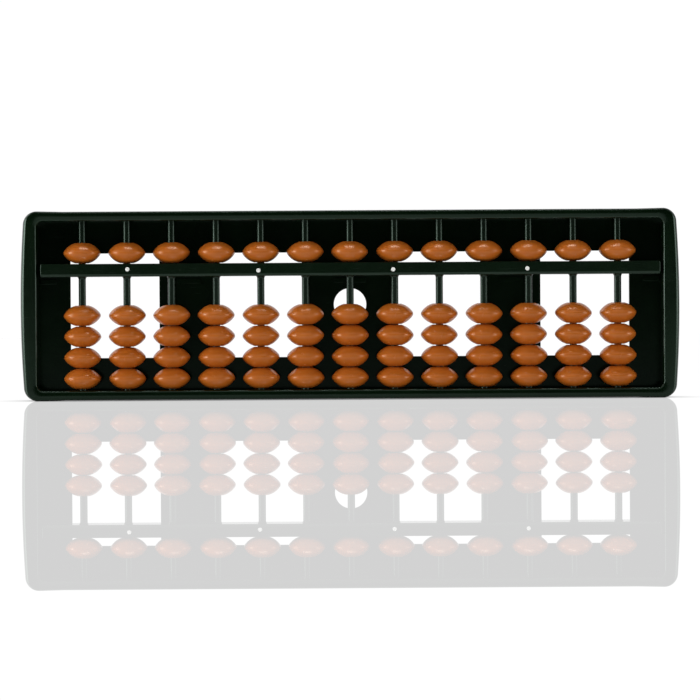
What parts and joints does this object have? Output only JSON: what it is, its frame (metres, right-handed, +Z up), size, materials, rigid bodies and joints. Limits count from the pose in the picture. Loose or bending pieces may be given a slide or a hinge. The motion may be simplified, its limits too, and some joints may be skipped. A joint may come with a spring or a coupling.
{
  "type": "abacus",
  "caption": "Bead-frame abacus with a cross beam, one heaven bead and four earth beads on each rod, and a windowed back panel.",
  "frame": {"origin": "centre of the footprint, at the bottom of the long lower rail", "axes": "+X along the rails to the right, +Y from the bead side to the back panel, +Z up along the rods from the earth beads to the heaven beads"},
  "size_m": [0.27, 0.019, 0.0778],
  "materials": {
    "frame_plastic": "glossy",
    "bead_plastic": "glossy",
    "mark_plastic": "satin"
  },
  "bodies": {
    "frame_assembly": {"frame": "frame_plastic", "back_panel": "frame_plastic", "beam_with_rods": "frame_plastic", "position_dot_1": "mark_plastic", "position_dot_2": "mark_plastic", "position_dot_3": "mark_plastic", "position_dot_4": "mark_plastic"},
    "heaven_01": {"heaven_bead_01": "bead_plastic"},
    "earth_stack_01": {"earth_bead_01_second": "bead_plastic", "earth_beads_01_lower_pair": "bead_plastic"},
    "earth_top_01": {"earth_bead_01_top": "bead_plastic"},
    "heaven_02": {"heaven_bead_02": "bead_plastic"},
    "earth_stack_02": {"earth_bead_02_second": "bead_plastic", "earth_beads_02_lower_pair": "bead_plastic"},
    "earth_top_02": {"earth_bead_02_top": "bead_plastic"},
    "heaven_03": {"heaven_bead_03": "bead_plastic"},
    "earth_stack_03": {"earth_bead_03_second": "bead_plastic", "earth_beads_03_lower_pair": "bead_plastic"},
    "earth_top_03": {"earth_bead_03_top": "bead_plastic"},
    "heaven_04": {"heaven_bead_04": "bead_plastic"},
    "earth_stack_04": {"earth_bead_04_second": "bead_plastic", "earth_beads_04_lower_pair": "bead_plastic"},
    "earth_top_04": {"earth_bead_04_top": "bead_plastic"},
    "heaven_05": {"heaven_bead_05": "bead_plastic"},
    "earth_stack_05": {"earth_bead_05_second": "bead_plastic", "earth_beads_05_lower_pair": "bead_plastic"},
    "earth_top_05": {"earth_bead_05_top": "bead_plastic"},
    "heaven_06": {"heaven_bead_06": "bead_plastic"},
    "earth_stack_06": {"earth_bead_06_second": "bead_plastic", "earth_beads_06_lower_pair": "bead_plastic"},
    "earth_top_06": {"earth_bead_06_top": "bead_plastic"},
    "heaven_07": {"heaven_bead_07": "bead_plastic"},
    "earth_stack_07": {"earth_bead_07_second": "bead_plastic", "earth_beads_07_lower_pair": "bead_plastic"},
    "earth_top_07": {"earth_bead_07_top": "bead_plastic"},
    "heaven_08": {"heaven_bead_08": "bead_plastic"},
    "earth_stack_08": {"earth_bead_08_second": "bead_plastic", "earth_beads_08_lower_pair": "bead_plastic"},
    "earth_top_08": {"earth_bead_08_top": "bead_plastic"},
    "heaven_09": {"heaven_bead_09": "bead_plastic"},
    "earth_stack_09": {"earth_bead_09_second": "bead_plastic", "earth_beads_09_lower_pair": "bead_plastic"},
    "earth_top_09": {"earth_bead_09_top": "bead_plastic"},
    "heaven_10": {"heaven_bead_10": "bead_plastic"},
    "earth_stack_10": {"earth_bead_10_second": "bead_plastic", "earth_beads_10_lower_pair": "bead_plastic"},
    "earth_top_10": {"earth_bead_10_top": "bead_plastic"},
    "heaven_11": {"heaven_bead_11": "bead_plastic"},
    "earth_stack_11": {"earth_bead_11_second": "bead_plastic", "earth_beads_11_lower_pair": "bead_plastic"},
    "earth_top_11": {"earth_bead_11_top": "bead_plastic"},
    "heaven_12": {"heaven_bead_12": "bead_plastic"},
    "earth_stack_12": {"earth_bead_12_second": "bead_plastic", "earth_beads_12_lower_pair": "bead_plastic"},
    "earth_top_12": {"earth_bead_12_top": "bead_plastic"},
    "heaven_13": {"heaven_bead_13": "bead_plastic"},
    "earth_stack_13": {"earth_bead_13_second": "bead_plastic", "earth_beads_13_lower_pair": "bead_plastic"},
    "earth_top_13": {"earth_bead_13_top": "bead_plastic"}
  },
  "joints": [
    {"name": "heaven_slide_01", "type": "slide", "parent": "frame_assembly", "child": "heaven_01", "axis": [0, 0, 1], "range_m": [0, 0.00825]},
    {"name": "earth_stack_slide_01", "type": "slide", "parent": "frame_assembly", "child": "earth_stack_01", "axis": [0, 0, 1], "range_m": [0, 0.0114]},
    {"name": "earth_top_slide_01", "type": "slide", "parent": "earth_stack_01", "child": "earth_top_01", "axis": [0, 0, -1], "range_m": [-0.0114, 0]},
    {"name": "heaven_slide_02", "type": "slide", "parent": "frame_assembly", "child": "heaven_02", "axis": [0, 0, 1], "range_m": [0, 0.00825]},
    {"name": "earth_stack_slide_02", "type": "slide", "parent": "frame_assembly", "child": "earth_stack_02", "axis": [0, 0, 1], "range_m": [0, 0.0114]},
    {"name": "earth_top_slide_02", "type": "slide", "parent": "earth_stack_02", "child": "earth_top_02", "axis": [0, 0, -1], "range_m": [-0.0114, 0]},
    {"name": "heaven_slide_03", "type": "slide", "parent": "frame_assembly", "child": "heaven_03", "axis": [0, 0, 1], "range_m": [0, 0.00825]},
    {"name": "earth_stack_slide_03", "type": "slide", "parent": "frame_assembly", "child": "earth_stack_03", "axis": [0, 0, 1], "range_m": [0, 0.0114]},
    {"name": "earth_top_slide_03", "type": "slide", "parent": "earth_stack_03", "child": "earth_top_03", "axis": [0, 0, -1], "range_m": [-0.0114, 0]},
    {"name": "heaven_slide_04", "type": "slide", "parent": "frame_assembly", "child": "heaven_04", "axis": [0, 0, 1], "range_m": [0, 0.00825]},
    {"name": "earth_stack_slide_04", "type": "slide", "parent": "frame_assembly", "child": "earth_stack_04", "axis": [0, 0, 1], "range_m": [0, 0.0114]},
    {"name": "earth_top_slide_04", "type": "slide", "parent": "earth_stack_04", "child": "earth_top_04", "axis": [0, 0, -1], "range_m": [-0.0114, 0]},
    {"name": "heaven_slide_05", "type": "slide", "parent": "frame_assembly", "child": "heaven_05", "axis": [0, 0, 1], "range_m": [0, 0.00825]},
    {"name": "earth_stack_slide_05", "type": "slide", "parent": "frame_assembly", "child": "earth_stack_05", "axis": [0, 0, 1], "range_m": [0, 0.0114]},
    {"name": "earth_top_slide_05", "type": "slide", "parent": "earth_stack_05", "child": "earth_top_05", "axis": [0, 0, -1], "range_m": [-0.0114, 0]},
    {"name": "heaven_slide_06", "type": "slide", "parent": "frame_assembly", "child": "heaven_06", "axis": [0, 0, 1], "range_m": [0, 0.00825]},
    {"name": "earth_stack_slide_06", "type": "slide", "parent": "frame_assembly", "child": "earth_stack_06", "axis": [0, 0, 1], "range_m": [0, 0.0114]},
    {"name": "earth_top_slide_06", "type": "slide", "parent": "earth_stack_06", "child": "earth_top_06", "axis": [0, 0, -1], "range_m": [-0.0114, 0]},
    {"name": "heaven_slide_07", "type": "slide", "parent": "frame_assembly", "child": "heaven_07", "axis": [0, 0, 1], "range_m": [0, 0.00825]},
    {"name": "earth_stack_slide_07", "type": "slide", "parent": "frame_assembly", "child": "earth_stack_07", "axis": [0, 0, 1], "range_m": [0, 0.0114]},
    {"name": "earth_top_slide_07", "type": "slide", "parent": "earth_stack_07", "child": "earth_top_07", "axis": [0, 0, -1], "range_m": [-0.0114, 0]},
    {"name": "heaven_slide_08", "type": "slide", "parent": "frame_assembly", "child": "heaven_08", "axis": [0, 0, 1], "range_m": [0, 0.00825]},
    {"name": "earth_stack_slide_08", "type": "slide", "parent": "frame_assembly", "child": "earth_stack_08", "axis": [0, 0, 1], "range_m": [0, 0.0114]},
    {"name": "earth_top_slide_08", "type": "slide", "parent": "earth_stack_08", "child": "earth_top_08", "axis": [0, 0, -1], "range_m": [-0.0114, 0]},
    {"name": "heaven_slide_09", "type": "slide", "parent": "frame_assembly", "child": "heaven_09", "axis": [0, 0, 1], "range_m": [0, 0.00825]},
    {"name": "earth_stack_slide_09", "type": "slide", "parent": "frame_assembly", "child": "earth_stack_09", "axis": [0, 0, 1], "range_m": [0, 0.0114]},
    {"name": "earth_top_slide_09", "type": "slide", "parent": "earth_stack_09", "child": "earth_top_09", "axis": [0, 0, -1], "range_m": [-0.0114, 0]},
    {"name": "heaven_slide_10", "type": "slide", "parent": "frame_assembly", "child": "heaven_10", "axis": [0, 0, 1], "range_m": [0, 0.00825]},
    {"name": "earth_stack_slide_10", "type": "slide", "parent": "frame_assembly", "child": "earth_stack_10", "axis": [0, 0, 1], "range_m": [0, 0.0114]},
    {"name": "earth_top_slide_10", "type": "slide", "parent": "earth_stack_10", "child": "earth_top_10", "axis": [0, 0, -1], "range_m": [-0.0114, 0]},
    {"name": "heaven_slide_11", "type": "slide", "parent": "frame_assembly", "child": "heaven_11", "axis": [0, 0, 1], "range_m": [0, 0.00825]},
    {"name": "earth_stack_slide_11", "type": "slide", "parent": "frame_assembly", "child": "earth_stack_11", "axis": [0, 0, 1], "range_m": [0, 0.0114]},
    {"name": "earth_top_slide_11", "type": "slide", "parent": "earth_stack_11", "child": "earth_top_11", "axis": [0, 0, -1], "range_m": [-0.0114, 0]},
    {"name": "heaven_slide_12", "type": "slide", "parent": "frame_assembly", "child": "heaven_12", "axis": [0, 0, 1], "range_m": [0, 0.00825]},
    {"name": "earth_stack_slide_12", "type": "slide", "parent": "frame_assembly", "child": "earth_stack_12", "axis": [0, 0, 1], "range_m": [0, 0.0114]},
    {"name": "earth_top_slide_12", "type": "slide", "parent": "earth_stack_12", "child": "earth_top_12", "axis": [0, 0, -1], "range_m": [-0.0114, 0]},
    {"name": "heaven_slide_13", "type": "slide", "parent": "frame_assembly", "child": "heaven_13", "axis": [0, 0, 1], "range_m": [0, 0.00825]},
    {"name": "earth_stack_slide_13", "type": "slide", "parent": "frame_assembly", "child": "earth_stack_13", "axis": [0, 0, 1], "range_m": [0, 0.0114]},
    {"name": "earth_top_slide_13", "type": "slide", "parent": "earth_stack_13", "child": "earth_top_13", "axis": [0, 0, -1], "range_m": [-0.0114, 0]}
  ]
}
